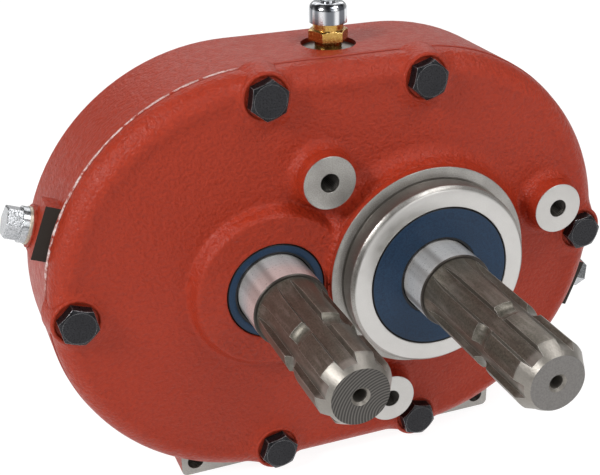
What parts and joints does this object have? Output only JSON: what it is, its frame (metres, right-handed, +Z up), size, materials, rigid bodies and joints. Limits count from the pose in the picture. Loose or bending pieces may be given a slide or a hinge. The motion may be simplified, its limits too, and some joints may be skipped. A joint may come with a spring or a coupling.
{
  "type": "parallel-shaft power take-off gearbox",
  "caption": "Parallel-shaft spur gearbox in an obround cast housing, with two splined power take-off stubs on one face, blue shaft seals, a breather and side plugs.",
  "frame": {"origin": "where the main shaft axis meets the machined face behind the pilot spigot, which is also the plane of the three tapped bosses", "axes": "-Y along both stubs, out of the cover; +X from the pinion shaft to the main shaft; +Z up, towards the breather"},
  "size_m": [0.3212, 0.21, 0.2394],
  "materials": {
    "case_paint": "red-brown enamel over rough cast iron",
    "cover_paint": "red-brown enamel over cast iron, with bare machined faces",
    "sealant": "pale squeezed-out joint sealant",
    "bolt_black": "black oxide",
    "brass": "turned brass",
    "cap_chrome": "bright nickel plate",
    "zinc": "bright zinc plate",
    "washer_metal": "soft sealing washer",
    "seal_blue": "blue moulded rubber",
    "seal_black": "black rubber lip",
    "shaft_steel": "phosphated spline with a ground journal",
    "gear_steel": "case-hardened ground steel",
    "bearing_steel": "polished bearing steel",
    "cage_brass": "machined brass"
  },
  "bodies": {
    "housing": {"gear_case": "case_paint", "front_cover": "cover_paint", "joint_sealant": "sealant", "cover_bolts": "bolt_black", "dowel_pins": "bearing_steel", "breather_body": "brass", "breather_cap": "cap_chrome", "fill_plug": "zinc", "fill_plug_washer": "washer_metal", "level_plug": "zinc", "level_plug_washer": "washer_metal", "main_seal_body": "seal_blue", "main_seal_lip": "seal_black", "main_seal_spring": "bearing_steel", "pinion_seal_body": "seal_blue", "pinion_seal_lip": "seal_black", "pinion_seal_spring": "bearing_steel", "main_shim": "bearing_steel", "pinion_shim": "bearing_steel", "main_front_outer_race": "bearing_steel", "main_rear_outer_race": "bearing_steel", "pinion_front_outer_race": "bearing_steel", "pinion_rear_outer_race": "bearing_steel"},
    "main_rotor": {"main_shaft": "shaft_steel", "main_gear": "gear_steel", "main_key": "gear_steel", "main_spacer": "gear_steel", "main_front_inner_race": "bearing_steel", "main_rear_inner_race": "bearing_steel"},
    "pinion_rotor": {"pinion_shaft": "shaft_steel", "pinion_front_inner_race": "bearing_steel", "pinion_rear_inner_race": "bearing_steel"},
    "main_front_ball_row": {"main_front_balls": "bearing_steel", "main_front_cage": "cage_brass"},
    "main_rear_ball_row": {"main_rear_balls": "bearing_steel", "main_rear_cage": "cage_brass"},
    "pinion_front_ball_row": {"pinion_front_balls": "bearing_steel", "pinion_front_cage": "cage_brass"},
    "pinion_rear_ball_row": {"pinion_rear_balls": "bearing_steel", "pinion_rear_cage": "cage_brass"}
  },
  "joints": [
    {"name": "main_spin", "type": "hinge", "parent": "housing", "child": "main_rotor", "pos_m": [0, 0, 0], "axis": [0, -1, 0], "continuous": true},
    {"name": "pinion_spin", "type": "hinge", "parent": "housing", "child": "pinion_rotor", "pos_m": [-0.08, 0, 0], "axis": [0, -1, 0], "continuous": true},
    {"name": "main_front_row_spin", "type": "hinge", "parent": "housing", "child": "main_front_ball_row", "pos_m": [0, 0, 0], "axis": [0, -1, 0], "continuous": true},
    {"name": "main_rear_row_spin", "type": "hinge", "parent": "housing", "child": "main_rear_ball_row", "pos_m": [0, 0, 0], "axis": [0, -1, 0], "continuous": true},
    {"name": "pinion_front_row_spin", "type": "hinge", "parent": "housing", "child": "pinion_front_ball_row", "pos_m": [-0.08, 0, 0], "axis": [0, -1, 0], "continuous": true},
    {"name": "pinion_rear_row_spin", "type": "hinge", "parent": "housing", "child": "pinion_rear_ball_row", "pos_m": [-0.08, 0, 0], "axis": [0, -1, 0], "continuous": true}
  ],
  "couplings": [
    {"joint": "pinion_spin", "follows": "main_spin", "ratio": -1.6667},
    {"joint": "main_front_row_spin", "follows": "main_spin", "ratio": 0.40167},
    {"joint": "main_rear_row_spin", "follows": "main_spin", "ratio": 0.40167},
    {"joint": "pinion_front_row_spin", "follows": "main_spin", "ratio": -0.71296},
    {"joint": "pinion_rear_row_spin", "follows": "main_spin", "ratio": -0.71296}
  ]
}
